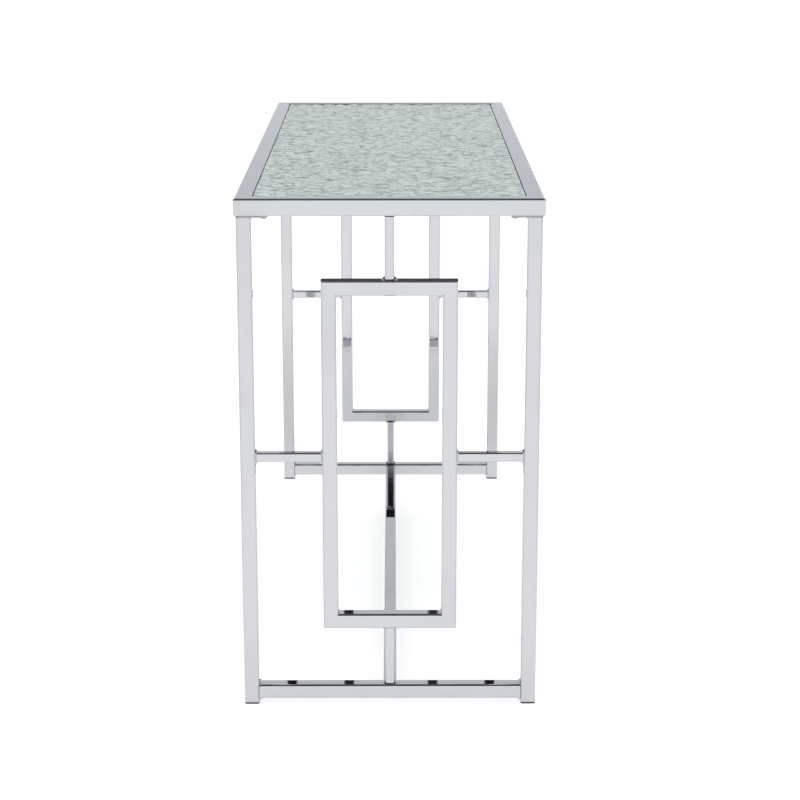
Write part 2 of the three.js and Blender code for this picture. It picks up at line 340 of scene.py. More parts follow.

# %% [markdown]
# ## Textured glass
#
# The pane is rolled glass whose upper face has a crackle relief. The relief is real geometry,
# and each point of the mesh carries a mask, named relief, that is 0 along the creases and 1
# inside the cells. The finish reads it: the cells look pale, and the creases get a painted
# shade, dark, and are a little rougher. Broad drifts of grey keep the whole from looking even.
# The pane is coated behind, so from above it is an almost opaque, pale, cold green. Real glass
# over a real coat would need many light bounces, so one opaque shader stands in for both, and
# two bumps, one broad and one fine, bend the mirrored room as the rolled face does. Under it
# lies a near-black sheet, a painted shade for the dark underside, which shows only from below.

# %% Glass finish
GLASS_CELL = (0.535, 0.625, 0.552)
GLASS_CREASE_SHADE = (0.01, 0.05, 0.035)
GLASS_GREY = (0.42, 0.44, 0.46)
SWELL_SCALE = 85.0
SWELL_DEPTH = 2.2 * MM
RIPPLE_SCALE = 420.0
RIPPLE_DEPTH = 0.2 * MM
# Colours of the near-black sheet under the pane, a painted shade.
SHADE_SHEET_BLACK = (0.014, 0.014, 0.015)
SHADE_SHEET_GREY = (0.024, 0.024, 0.026)


def glass_finish():
    finish = Finish("textured_glass", {"Metallic": 0.0, "IOR": 1.5})
    place = finish.place()
    relief = finish.node("ShaderNodeAttribute", {"attribute_name": "relief"})
    inside = Value(finish, relief.outputs["Fac"])
    drift = finish.between(finish.cloud(place, 26.0, detail=3.0), 0.3, 0.7)
    swell = finish.cloud(place, SWELL_SCALE, detail=1.0)
    ripple = finish.cloud(place, RIPPLE_SCALE, detail=2.0, roughness=0.6)
    rolled = finish.bump(swell, SWELL_DEPTH)
    # The creases take a painted shade: a dark colour blended in where the relief mask falls to 0.
    body = finish.blend(inside - drift * 0.16 + 0.06, GLASS_CREASE_SHADE, GLASS_CELL)
    return finish.paint(
        Base_Color=finish.blend(drift * 0.2, body, GLASS_GREY),
        Roughness=0.12 - inside * 0.05 + drift * 0.02,
        Normal=finish.bump(ripple, RIPPLE_DEPTH, after=rolled),
    )


# The sheet under the pane is a painted shade: near-black, with a faint grey tone that wanders.
def underside_shade_sheet_finish():
    finish = Finish("underside_shade_sheet", {"Metallic": 0.0, "Specular IOR Level": 0.05})
    place = finish.place()
    stipple = finish.cloud(place, 1100.0, detail=3.0, roughness=0.6)
    sheet_tone = finish.between(finish.cloud(place, 20.0, detail=2.0), 0.3, 0.7)
    return finish.paint(
        Base_Color=finish.blend(sheet_tone, SHADE_SHEET_BLACK, SHADE_SHEET_GREY),
        Roughness=0.55 - stipple * 0.12,
        Normal=finish.bump(stipple, 0.05 * MM),
    )


textured_glass = glass_finish()
underside_shade_sheet = underside_shade_sheet_finish()

# %% [markdown]
# ## Making a piece
#
# Each piece is one mesh. Nothing on the table moves in use, so every piece rides on its only
# body. A piece also hides the parts of the imported model that it stands for, and takes the
# finish it is given. Its points are given in the table's own frame and the object stays at the origin,
# so one pattern of haze or grain runs on from piece to piece.

# %% Mesh helper
def sharpen(mesh, degrees):
    """Smooth shading, apart from edges that fold more than the angle."""
    shape = bmesh.new()
    shape.from_mesh(mesh)
    bmesh.ops.recalc_face_normals(shape, faces=shape.faces)
    for edge in shape.edges:
        edge.smooth = edge.is_manifold and edge.calc_face_angle() < math.radians(degrees)
    for face in shape.faces:
        face.smooth = True
    shape.to_mesh(mesh)
    shape.free()


def make_piece(name, points, faces, material, nodes=(), corner_normals=None, fold=35.0):
    mesh = bpy.data.meshes.new(name)
    mesh.from_pydata([tuple(p) for p in points], [], faces)
    mesh.materials.append(material)
    if corner_normals is None:
        sharpen(mesh, fold)
    else:
        mesh.polygons.foreach_set("use_smooth", [True] * len(faces))
        mesh.normals_split_custom_set(corner_normals)
    piece = bpy.data.objects.new(name, mesh)
    bpy.context.scene.collection.objects.link(piece)
    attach(piece, "root")
    if nodes:
        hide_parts(*nodes)
    return piece


# %% [markdown]
# ## Square tube
#
# The table is nearly all square tube. A tube has four dead flat faces and four round corners,
# and in a mirror finish the round corners draw the thin dark lines that outline every bar. A
# box with a bevel modifier comes close, but a mirror shows it when a bevel's shading leaks onto
# the flats. So the corners are real arcs, and each face corner is given its exact normal:
# straight out on the flats, turning evenly round the arcs. The tube is hollow, and its ends are
# cut square or mitred.

# %% Square tube mesh
CORNER_STEPS = 8
SMALLEST_BORE_CORNER = 0.3 * MM


def rounded_square(half, radius, steps=CORNER_STEPS):
    """Points and outward normals round a square with round corners, anticlockwise."""
    angles = (np.arange(4)[:, None] + np.linspace(0, 1, steps + 1)[None, :]) * math.pi / 2
    normals = np.stack([np.cos(angles), np.sin(angles)], axis=-1)
    middles = (np.arange(4) + 0.5) * math.pi / 2
    centres = np.sign(np.stack([np.cos(middles), np.sin(middles)], axis=-1)) * (half - radius)
    points = centres[:, None, :] + radius * normals
    return points.reshape(-1, 2), normals.reshape(-1, 2)


def tube_mesh(centre, along, outward, length, side, wall, radius, mitred):
    """Points, faces and corner normals of a hollow square tube round its centre."""
    third = np.cross(outward, along)
    half = side / 2
    outer, outer_normals = rounded_square(half, radius)
    inner, inner_normals = rounded_square(half - wall, max(radius - wall, SMALLEST_BORE_CORNER))
    count = len(outer)

    def ring(section, end):
        reach = length / 2 - mitred * (half - section[:, 1])
        across = np.outer(section[:, 0], third) + np.outer(section[:, 1], outward)
        return centre + across + np.outer(end * reach, along)

    def turned(normals):
        return np.outer(normals[:, 0], third) + np.outer(normals[:, 1], outward)

    points = np.concatenate([ring(outer, -1), ring(outer, 1), ring(inner, -1), ring(inner, 1)])
    outer_start, outer_end, inner_start, inner_end = (level * count for level in range(4))
    outside = turned(outer_normals)
    inside = -turned(inner_normals)
    start_normal = (-along - mitred * outward) / math.hypot(1, mitred)
    end_normal = (along - mitred * outward) / math.hypot(1, mitred)
    faces = []
    normals = []
    for i in range(count):
        j = (i + 1) % count
        faces.append((outer_start + i, outer_start + j, outer_end + j, outer_end + i))
        normals += [outside[i], outside[j], outside[j], outside[i]]
        faces.append((inner_start + j, inner_start + i, inner_end + i, inner_end + j))
        normals += [inside[j], inside[i], inside[i], inside[j]]
        faces.append((outer_end + i, outer_end + j, inner_end + j, inner_end + i))
        normals += [end_normal] * 4
        faces.append((outer_start + j, outer_start + i, inner_start + i, inner_start + j))
        normals += [start_normal] * 4
    return points, faces, normals


# %% Tubes from the frame's boxes
X, Y, Z = np.eye(3)
tubes = []


def box_of(node):
    """The lowest corner, the highest corner and the middle of a part of the frame."""
    low, high = (np.array(corner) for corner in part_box(node))
    return low, high, (low + high) / 2


def add_tube(node, along, outward, wall, radius, mitred=False):
    """Replaces a tube of the frame by one with true round corners, in the same box."""
    low, high, middle = box_of(node)
    length = float(np.dot(high - low, along))
    side = float(min(high - low))
    points, faces, normals = tube_mesh(
        middle, along, outward, length, side, wall, radius, float(mitred))
    tube = make_piece(node + "_tube", points, faces, polished_chrome, [node], normals)
    tubes.append(tube)


# %% [markdown]
# ### The rim
#
# Four lengths of 25 mm tube are cut at 45 degrees, welded at the corners, ground flush and
# polished before plating, so the joints hardly show. Each length stays a piece of its own.

# %% Rim tubes
RIM_WALL = 1.5 * MM
RIM_RADIUS = 3.0 * MM
for node, along, outward in (
    ("top_rail_front", X, -Y),
    ("top_rail_back", X, Y),
    ("top_rail_left", Y, -X),
    ("top_rail_right", Y, X),
):
    add_tube(node, along, outward, RIM_WALL, RIM_RADIUS, mitred=True)
print("rim tubes:", len(tubes))

# %% [markdown]
# ### The end frames and the stretcher
#
# Legs, floor rail and panel are 22 mm tube. The posts above and below the panel, and the two
# short side bars, are 14 mm tube with a thinner wall, and the stretcher is 20 mm tube. The
# panel's four tubes are mitred like the rim's, and everything else is cut square.

# %% End frame tubes
FRAME_WALL = 1.25 * MM
FRAME_RADIUS = 3.0 * MM
POST_WALL = 1.0 * MM
POST_RADIUS = 2.5 * MM
STRETCHER_RADIUS = 2.5 * MM
for end in ENDS:
    add_tube(f"{end}_floor_rail", Y, X, FRAME_WALL, FRAME_RADIUS)
    add_tube(f"{end}_panel_top", Y, Z, FRAME_WALL, FRAME_RADIUS, mitred=True)
    add_tube(f"{end}_panel_bottom", Y, -Z, FRAME_WALL, FRAME_RADIUS, mitred=True)
    add_tube(f"{end}_panel_front", Z, -Y, FRAME_WALL, FRAME_RADIUS, mitred=True)
    add_tube(f"{end}_panel_back", Z, Y, FRAME_WALL, FRAME_RADIUS, mitred=True)
    add_tube(f"{end}_upper_post", Z, X, POST_WALL, POST_RADIUS)
    add_tube(f"{end}_lower_post", Z, X, POST_WALL, POST_RADIUS)
    for row in ROWS:
        add_tube(f"{end}_leg_{row}", Z, X, FRAME_WALL, FRAME_RADIUS)
        add_tube(f"{end}_side_bar_{row}", Y, X, POST_WALL, POST_RADIUS)
add_tube("stretcher", X, Y, FRAME_WALL, STRETCHER_RADIUS)
print("tubes in all:", len(tubes))

# %% [markdown]
# ## Weld beads
#
# Where one tube butts against another, a bead of weld fills the corner. It is dressed and
# plated with the rest, and what is left is a small sloping fillet that catches dark and light.
# A bump could only paint that on, so a bead is a mesh of its own, swept from stations: at each
# one, a small three-sided section lies in the corner between two surfaces. Noise that is the
# same in every run makes its width wander, as a hand weld's does.

# %% Bead sweep
BEAD_STEPS = 5
BEAD_BULGE = 0.16
BEAD_WANDER = 0.16
WANDER_SCALE = 420.0
BEAD_BURY = 0.25 * MM


def band(low, high, count):
    """Faces that join two closed rings of count points. low and high number their first points."""
    faces = []
    for i in range(count):
        j = (i + 1) % count
        faces.append((low + i, low + j, high + j, high + i))
    return faces


def bead_section(corner, first, second, leg):
    """Points of one section: two legs along the surfaces and a slightly full slope."""
    wander = 1 + BEAD_WANDER * noise.noise(Vector(corner) * WANDER_SCALE)
    size = leg * wander
    slope = []
    for s in np.linspace(0, 1, BEAD_STEPS):
        full = BEAD_BULGE * math.sin(math.pi * s)
        slope.append(corner + size * ((1 - s + full) * first + (s + full) * second))
    root = corner - BEAD_BURY * (first + second)
    return [root, *slope]


def sweep_bead(stations, closed):
    """Points and faces of a bead through all the stations."""
    points = [p for station in stations for p in bead_section(*station)]
    section = BEAD_STEPS + 1
    count = len(stations)
    faces = []
    for i in range(count if closed else count - 1):
        faces += band(i * section, (i + 1) % count * section, section)
    if not closed:
        faces.append(tuple(range(section)))
        faces.append(tuple((count - 1) * section + k for k in range(section)))
    return points, faces


class BeadSet:
    """Beads of one kind that are plated together and make one piece."""

    def __init__(self, name):
        self.name = name
        self.points = []
        self.faces = []
        self.count = 0

    def add(self, stations, closed):
        points, faces = sweep_bead(stations, closed)
        start = len(self.points)
        self.points += points
        self.faces += [tuple(i + start for i in face) for face in faces]
        self.count += 1

    def finish(self):
        piece = make_piece(self.name, self.points, self.faces, weld_chrome, fold=60.0)
        print(self.name, "holds", self.count, "beads")
        return piece


# %% [markdown]
# A thin tube that ends on a wider one is welded all round. There is room for a wide bead only
# on the two sides where the wider tube carries on, so the leg of the bead changes round it.
# Tubes of the same width are welded with straight beads in the corners between them.

# %% Beads round a tube's end
STRAIGHT_STATIONS = 11
END_TAPER = 0.02


def ring_bead(beads, centre, along, wide, side, radius, wide_leg, narrow_leg):
    """A bead round a square tube that stands on a face. along points away from the face."""
    third = np.cross(wide, along)
    section, normals = rounded_square(side / 2, radius, steps=4)
    stations = []
    for point, normal in zip(section, normals):
        corner = centre + point[0] * wide + point[1] * third
        outward = normal[0] * wide + normal[1] * third
        leg = narrow_leg + (wide_leg - narrow_leg) * abs(normal[0]) ** 2
        stations.append((corner, along, outward, leg))
    beads.add(stations, closed=True)


def corner_bead(beads, corner, across, first, second, length, leg):
    """A straight bead in the corner between two faces, thinning out at both ends."""
    stations = []
    for s in np.linspace(-1, 1, STRAIGHT_STATIONS):
        taper = math.sqrt(max(1 - abs(s) ** 5, END_TAPER))
        stations.append((corner + across * s * length / 2, first, second, leg * taper))
    beads.add(stations, closed=False)


# %% Where the beads go
POST_BEAD = 4.2 * MM
BAR_BEAD = 3.2 * MM
NARROW_BEAD = 1.5 * MM
RAIL_BEAD = 4.0 * MM
PANEL_BEAD = 2.4 * MM
TAB_BEAD = 2.6 * MM


def weld_posts(end):
    beads = BeadSet(f"{end}_post_beads")
    for node, ends in ((f"{end}_upper_post", (-1,)), (f"{end}_lower_post", (-1, 1))):
        low, high, middle = box_of(node)
        for direction in ends:
            face = np.array([middle[0], middle[1], low[2] if direction < 0 else high[2]])
            side = high[0] - low[0]
            ring_bead(beads, face, -direction * Z, Y, side, POST_RADIUS, POST_BEAD, NARROW_BEAD)
    return beads.finish()


def weld_side_bars(end):
    beads = BeadSet(f"{end}_side_bar_beads")
    for row in ROWS:
        low, high, middle = box_of(f"{end}_side_bar_{row}")
        for direction in (-1, 1):
            face = np.array([middle[0], low[1] if direction < 0 else high[1], middle[2]])
            side = high[0] - low[0]
            ring_bead(beads, face, -direction * Y, Z, side, POST_RADIUS, BAR_BEAD, NARROW_BEAD)
    return beads.finish()


def weld_floor_rail(end):
    beads = BeadSet(f"{end}_floor_rail_beads")
    low, high, middle = box_of(f"{end}_floor_rail")
    width = high[0] - low[0] - FRAME_RADIUS
    for y, into_rail in ((low[1], Y), (high[1], -Y)):
        for z, away in ((low[2], -Z), (high[2], Z)):
            corner = np.array([middle[0], y, z])
            corner_bead(beads, corner, X, into_rail, away, width, RAIL_BEAD)
    return beads.finish()


def weld_panel(end):
    beads = BeadSet(f"{end}_panel_beads")
    bottom = box_of(f"{end}_panel_bottom")[1][2]
    top = box_of(f"{end}_panel_top")[0][2]
    front = box_of(f"{end}_panel_front")[1][1]
    back = box_of(f"{end}_panel_back")[0][1]
    low, high, middle = box_of(f"{end}_panel_top")
    width = high[0] - low[0] - FRAME_RADIUS
    for y, inward in ((front, Y), (back, -Y)):
        for z, upward in ((bottom, Z), (top, -Z)):
            corner = np.array([middle[0], y, z])
            corner_bead(beads, corner, X, inward, upward, width, PANEL_BEAD)
    return beads.finish()


def weld_tabs(end):
    beads = BeadSet(f"{end}_tab_beads")
    for row, inward in (("front", Y), ("back", -Y)):
        low, high, middle = box_of(f"{end}_leg_{row}")
        width = high[0] - low[0] - 2 * FRAME_RADIUS
        inner_face = high[1] if row == "front" else low[1]
        corner = np.array([middle[0], inner_face, high[2]])
        corner_bead(beads, corner, X, inward, -Z, width, TAB_BEAD)
    return beads.finish()


for end in ENDS:
    weld_posts(end)
    weld_side_bars(end)
    weld_floor_rail(end)
    weld_panel(end)
    weld_tabs(end)

# %% [markdown]
# ## Lofted and turned shapes
#
# Small parts are made in two ways. Square ones, such as the glides, are lofted: rounded
# squares are stacked at different heights and joined. Round ones, such as the screws, are
# turned: rings of different radius are joined, and a ring can be six-sided for a hex socket.

# %% Loft and lathe
def stack_rings(rings):
    """Faces that join rings of equal length, with a lid on the first and last."""
    count = len(rings[0])
    faces = []
    for level in range(len(rings) - 1):
        faces += band(level * count, (level + 1) * count, count)
    faces.append(tuple(reversed(range(count))))
    top = (len(rings) - 1) * count
    faces.append(tuple(range(top, top + count)))
    return np.concatenate(rings), faces


def loft(centre, levels):
    """Rounded squares at heights: each level is height, side and corner radius in mm."""
    rings = []
    for height, side, radius in levels:
        section, _ = rounded_square(side * MM / 2, radius * MM, steps=5)
        heights = np.full((len(section), 1), height * MM)
        rings.append(np.hstack([section, heights]) + centre)
    return stack_rings(rings)


def hex_reach(angle):
    """How far a hexagon reaches at an angle, for a distance of 1 to its flats."""
    return 1 / math.cos((angle + math.pi / 6) % (math.pi / 3) - math.pi / 6)


def turn(centre, levels, segments=36):
    """Rings round Z: each level is height and radius in mm, and True if it is six-sided."""
    angles = np.arange(segments) * 2 * math.pi / segments
    rings = []
    for height, radius, six_sided in levels:
        reach = [radius * (hex_reach(a) if six_sided else 1) * MM for a in angles]
        ring = [(r * math.cos(a), r * math.sin(a), height * MM) for a, r in zip(angles, reach)]
        rings.append(np.array(ring) + centre)
    return stack_rings(rings)


# %% [markdown]
# ### Glides, pads and bumpers
#
# A glide is a foot that is pushed into the leg: a thin square sole with softened edges, and
# above it a ribbed plug that grips the bore. The post's pad is a plain square of the same
# plastic, and six clear bumpers keep the glass off its steel ledges.

# %% Soft parts
SOLE_LEVELS = (
    (0.0, 19.6, 2.6),
    (0.35, 20.9, 3.0),
    (1.0, 21.7, 3.2),
    (2.4, 21.8, 3.2),
    (2.9, 21.4, 3.0),
)
RIB = (19.0, 1.2)
GROOVE = (18.2, 1.0)
GROOVE_STARTS = (5.0, 9.0)
POST_PAD_LEVELS = ((0.0, 13.4, 1.6), (0.3, 14.0, 1.8), (1.7, 14.0, 1.8), (2.0, 13.4, 1.6))
BUMPER_LEVELS = (
    (0.0, 4.7, False),
    (0.15, 5.0, False),
    (0.6, 4.9, False),
    (0.85, 4.3, False),
    (1.0, 3.0, False),
)


def glide_levels():
    """The sole, then the plug with its grooves, and the tapered tip that finds the bore."""
    levels = [*SOLE_LEVELS, (3.0, *RIB)]
    for start in GROOVE_STARTS:
        levels += [(start, *RIB), (start + 0.3, *GROOVE), (start + 2.0, *GROOVE), (start + 2.3, *RIB)]
    return (*levels, (13.0, *RIB), (15.0, 17.0, 1.0))


def base_of(node):
    """The middle of a part's underside."""
    low, _, middle = box_of(node)
    return np.array([middle[0], middle[1], low[2]])


def add_moulding(node, levels):
    points, faces = loft(base_of(node), levels)
    return make_piece(node + "_moulding", points, faces, black_plastic, [node])


def add_bumper(node):
    points, faces = turn(base_of(node), BUMPER_LEVELS)
    return make_piece(node + "_bumper", points, faces, clear_rubber, [node])


for end in ENDS:
    for row in ROWS:
        glide = add_moulding(f"{end}_glide_{row}", glide_levels())
    post_pad = add_moulding(f"{end}_post_pad", POST_PAD_LEVELS)
for row in ROWS:
    for column in ("left", "middle", "right"):
        bumper = add_bumper(f"glass_pad_{row}_{column}")
for soft_part in (glide, post_pad, bumper):
    print(soft_part.name, "is", [round(d / MM, 1) for d in soft_part.dimensions], "mm")

# %% [markdown]
# ### Screws
#
# A button-head screw holds each tab plate to the rim, and one from below holds each end of
# the stretcher. The head is a low dome with a hex socket. The thread is a stack of grooves
# and not a true helix, because it is hidden as soon as the screw is in.

# %% Button-head screws
HEAD_HEIGHT = 2.75
THREAD_PITCH = 0.8
THREAD_RADIUS = 2.5
THREAD_ROOT = 2.2


def screw_levels(length):
    """From the socket's floor, over the domed head and up the shank to its chamfered tip."""
    head = (
        (-1.1, 1.3, True),
        (-1.2, 1.5, True),
        (-2.65, 1.5, True),
        (-HEAD_HEIGHT, 1.7, True),
        (-2.72, 2.6, False),
        (-2.35, 3.6, False),
        (-1.6, 4.4, False),
        (-0.7, 4.72, False),
        (-0.2, 4.75, False),
        (0.0, 4.6, False),
        (0.0, THREAD_RADIUS, False),
    )
    threads = []
    for height in np.arange(THREAD_PITCH, length - 1.2, THREAD_PITCH):
        threads += [(height, THREAD_RADIUS, False), (height + THREAD_PITCH / 2, THREAD_ROOT, False)]
    return (*head, *threads, (length - 0.7, 2.4, False), (length, 1.8, False))


def add_screw(node):
    high = box_of(node)[1]
    bearing = base_of(node) + HEAD_HEIGHT * MM * Z
    length = (high[2] - bearing[2]) / MM
    points, faces = turn(bearing, screw_levels(length))
    return make_piece(node + "_turned", points, faces, bright_zinc, [node], fold=40.0)


for end in ENDS:
    add_screw(f"{end}_stretcher_screw")
    for row in ROWS:
        screw = add_screw(f"{end}_tab_screw_{row}")
print("screw faces:", len(screw.data.polygons))

# %% [markdown]
# ### Tab plates and ledges
#
# A tab is a strip of 2.5 mm steel welded across the top of a leg, with a hole for its screw.
# A Boolean could drill the hole, but it leaves long uneven faces. The outline is convex, so rays
# from the hole's centre meet it once each, and the outline's rings are joined to the hole's
# rings along those rays. The ledges are plain strips with softened edges.

# %% Tab plates
TAB_CORNER = 2.0 * MM
TAB_EDGE = 0.3 * MM
TAB_HOLE = 2.75 * MM


def rounded_outline(half_x, half_y, radius, steps):
    """A rectangle's outline with round corners, anticlockwise."""
    points = []
    for corner in range(4):
        middle = (corner + 0.5) * math.pi / 2
        cx = math.copysign(half_x - radius, math.cos(middle))
        cy = math.copysign(half_y - radius, math.sin(middle))
        for step in range(steps + 1):
            angle = (corner + step / steps) * math.pi / 2
            points.append((cx + radius * math.cos(angle), cy + radius * math.sin(angle)))
    return np.array(points)


def plate_rings(low, high, radius, edge, steps=6):
    """Four rings up the sides of a flat plate, drawn in at the bottom and top to soften it."""
    middle = (low + high) / 2
    half = (high - low) / 2
    levels = ((low[2], edge), (low[2] + edge, 0.0), (high[2] - edge, 0.0), (high[2], edge))
    rings = []
    for z, inset in levels:
        outline = rounded_outline(half[0] - inset, half[1] - inset, radius, steps) + middle[:2]
        rings.append(np.column_stack([outline, np.full(len(outline), z)]))
    return rings


def plate_with_hole(low, high, hole):
    """A softened plate with a round hole through it along Z."""
    rings = plate_rings(low, high, TAB_CORNER, TAB_EDGE)
    arms = rings[1][:, :2] - hole
    arms /= np.linalg.norm(arms, axis=1)[:, None]
    rim = hole + TAB_HOLE * arms
    rings.append(np.column_stack([rim, np.full(len(rim), high[2])]))
    rings.append(np.column_stack([rim, np.full(len(rim), low[2])]))
    count = len(rim)
    faces = []
    for level in range(len(rings)):
        faces += band(level * count, (level + 1) % len(rings) * count, count)
    return np.concatenate(rings), faces


for end in ENDS:
    for row in ROWS:
        node = f"{end}_tab_{row}"
        low, high, _ = box_of(node)
        hole = box_of(f"{end}_tab_screw_{row}")[2][:2]
        points, faces = plate_with_hole(low, high, hole)
        make_piece(node + "_plate", points, faces, rolled_plate, [node], fold=20.0)
print("tab plate:", [round(v / MM, 1) for v in high - low], "mm")


# %% Ledges
LEDGE_EDGE = 0.4 * MM


def strip_mesh(low, high, edge):
    """A flat strip whose long and short edges are all softened."""
    return stack_rings(plate_rings(low, high, edge, edge, steps=2))


for place in (*ROWS, *ENDS):
    node = f"glass_ledge_{place}"
    low, high, _ = box_of(node)
    points, faces = strip_mesh(low, high, LEDGE_EDGE)
    ledge = make_piece(node + "_strip", points, faces, polished_chrome, [node], fold=20.0)
print("ledge:", [round(v / MM, 1) for v in high - low], "mm,", len(ledge.data.polygons), "faces")

# %% [markdown]
# ## The glass pane
#
# The relief is a crackle: a net of irregular cells, each a low dome above the creases around
# it. A bump could draw it, but the glass is mostly seen at a low angle, where one dome hides
# the crease behind it, so it is real geometry. A Voronoi pattern gives both: the distance to
# the nearest seed makes the dome, and how much further the second seed is makes the crease.
# Points are pushed about by soft noise first, so the creases wander, and a second finer net is
# laid over the first. The pane's upper face is a grid fine enough to carry that shape, and its
# rim keeps the pane's round corners.

# %% Crackle relief
GLASS_GRID = 2.5 * MM
CELL_SIZE = 17.0 * MM
FINE_CELL_SIZE = 9.0 * MM
CREASE_WIDTH = 0.20
CELL_STRETCH = Vector((1.1, 0.8, 0.0))
WARP = 7.0 * MM
WARP_SCALE = 45.0
FINE_NET_SHIFT = Vector((0.5, 0.3, 0.0))
RELIEF_DEPTH = 2.0 * MM
WARP_X_SLICE = Vector((0.0, 0.0, 3.0))
WARP_Y_SLICE = Vector((0.0, 0.0, 9.0))
DOME_SHARES = (0.72, 0.28)
CREASE_SHARES = (0.7, 0.3)


def dome_and_crease(point, size):
    """How high a domed cell stands here, and 0 on its creases rising to 1 inside it."""
    distances, _ = noise.voronoi(point / size)
    dome = max(1 - distances[0] ** 2, 0.0)
    crease = min((distances[1] - distances[0]) / CREASE_WIDTH, 1.0)
    return dome, crease


def relief_at(x, y):
    """The relief's height and its crease mask, both between 0 and 1, at a point of the pane."""
    spot = Vector((x, y, 0.0)) * WARP_SCALE
    bend = Vector((noise.noise(spot + WARP_X_SLICE), noise.noise(spot + WARP_Y_SLICE), 0.0))
    point = Vector((x, y, 0.0)) * CELL_STRETCH + WARP * bend
    dome, crease = dome_and_crease(point, CELL_SIZE)
    fine_dome, fine_crease = dome_and_crease(point + FINE_NET_SHIFT, FINE_CELL_SIZE)
    height = DOME_SHARES[0] * dome + DOME_SHARES[1] * fine_dome
    mask = CREASE_SHARES[0] * crease + CREASE_SHARES[1] * fine_crease
    return height, mask


# %% Pane mesh
GLASS_CORNER = 3.0 * MM
ARRIS = 0.5 * MM
EDGE_MASK = 0.5
SHADE_SHEET_THICKNESS = 0.15 * MM


def round_off(x, y, half_x, half_y, radius):
    """Moves a point that lies outside the pane's round corner back onto its arc."""
    over_x = abs(x) - (half_x - radius)
    over_y = abs(y) - (half_y - radius)
    if over_x <= 0 or over_y <= 0:
        return x, y
    reach = math.hypot(over_x, over_y)
    shrink = min(1.0, radius / reach)
    return (
        math.copysign(half_x - radius + over_x * shrink, x),
        math.copysign(half_y - radius + over_y * shrink, y),
    )


def relief_points(half_x, half_y, top, columns, rows):
    """The upper face's points, row by row, and their crease masks."""
    points = []
    masks = []
    for r in range(rows + 1):
        for c in range(columns + 1):
            x = -half_x + 2 * half_x * c / columns
            y = -half_y + 2 * half_y * r / rows
            height, mask = relief_at(x, y)
            x, y = round_off(x, y, half_x - ARRIS, half_y - ARRIS, GLASS_CORNER)
            x = max(min(x, half_x - ARRIS), ARRIS - half_x)
            y = max(min(y, half_y - ARRIS), ARRIS - half_y)
            points.append((x, y, top - RELIEF_DEPTH * (1 - height)))
            masks.append(mask)
    return points, masks


def grid_faces(columns, rows):
    """The squares of a grid whose points are numbered row by row."""
    faces = []
    for r in range(rows):
        for c in range(columns):
            i = r * (columns + 1) + c
            faces.append((i, i + 1, i + columns + 2, i + columns + 1))
    return faces


def grid_edge(columns, rows):
    """The numbers of the points round the grid's edge, anticlockwise."""
    edge = list(range(columns))
    edge += [r * (columns + 1) + columns for r in range(rows)]
    edge += [rows * (columns + 1) + c for c in range(columns, 0, -1)]
    edge += [r * (columns + 1) for r in range(rows, 0, -1)]
    return edge


def pane_mesh(low, high):
    """Points, faces and relief values of the pane, with the relief on its upper face."""
    half_x = (high[0] - low[0]) / 2
    half_y = (high[1] - low[1]) / 2
    columns = int(round(2 * half_x / GLASS_GRID))
    rows = int(round(2 * half_y / GLASS_GRID))
    points, relief = relief_points(half_x, half_y, high[2], columns, rows)
    faces = grid_faces(columns, rows)
    edge = grid_edge(columns, rows)
    top_edge = np.array([points[i] for i in edge])
    rings = [edge]
    levels = ((high[2] - RELIEF_DEPTH - ARRIS, ARRIS), (low[2] + ARRIS, ARRIS), (low[2], 0.0))
    for z, grow in levels:
        ring = top_edge.copy()
        ring[:, 0] *= (half_x - ARRIS + grow) / (half_x - ARRIS)
        ring[:, 1] *= (half_y - ARRIS + grow) / (half_y - ARRIS)
        ring[:, 2] = z
        start = len(points)
        points += [tuple(p) for p in ring]
        relief += [EDGE_MASK] * len(ring)
        rings.append(list(range(start, start + len(ring))))
    for upper, lower in zip(rings, rings[1:]):
        for i in range(len(upper)):
            j = (i + 1) % len(upper)
            faces.append((upper[j], upper[i], lower[i], lower[j]))
    faces.append(tuple(reversed(rings[-1])))
    return points, faces, relief


pane_low, pane_high, _ = box_of("glass_pane")
pane_bottom = pane_low + SHADE_SHEET_THICKNESS * Z
points, faces, relief = pane_mesh(pane_bottom, pane_high)
pane = make_piece(
    "glass_pane_relief", points, faces, textured_glass, ["glass_pane"], fold=50.0)
relief_layer = pane.data.attributes.new("relief", "FLOAT", "POINT")
relief_layer.data.foreach_set("value", relief)
print("pane points:", len(points), "mean relief:", round(float(np.mean(relief)), 3))

# %% [markdown]
# A near-black sheet under the pane is a painted shade, which is why nothing shows through it and
# why the polished bars below it mirror a dark ceiling. The sheet stops a millimetre short of the pane's
# edges.

# %% Painted shade under the pane
SHADE_SHEET_MARGIN = 1.0 * MM
SHADE_SHEET_EDGE = 0.05 * MM
shade_sheet_low = pane_low + SHADE_SHEET_MARGIN * (X + Y)
shade_sheet_high = np.array([pane_high[0], pane_high[1], pane_bottom[2]]) - SHADE_SHEET_MARGIN * (X + Y)
points, faces = strip_mesh(shade_sheet_low, shade_sheet_high, SHADE_SHEET_EDGE)
make_piece("glass_underside_shade_sheet", points, faces, underside_shade_sheet, fold=20.0)
print("paint:", [round(v / MM, 2) for v in shade_sheet_high - shade_sheet_low], "mm")

# %% [markdown]
# ## Parts that keep their shape
#
# The nuts inside the rim and the spigots inside the stretcher already have their true shape,
# so they stay as they are and only take the zinc finish.

# %% Kept parts
kept = [f"{end}_tab_nut_{row}" for end in ENDS for row in ROWS]
kept += [f"{end}_stretcher_spigot" for end in ENDS]
for node in kept:
    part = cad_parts[node]
    part.data.materials.clear()
    part.data.materials.append(bright_zinc)
print("kept parts:", len(kept))

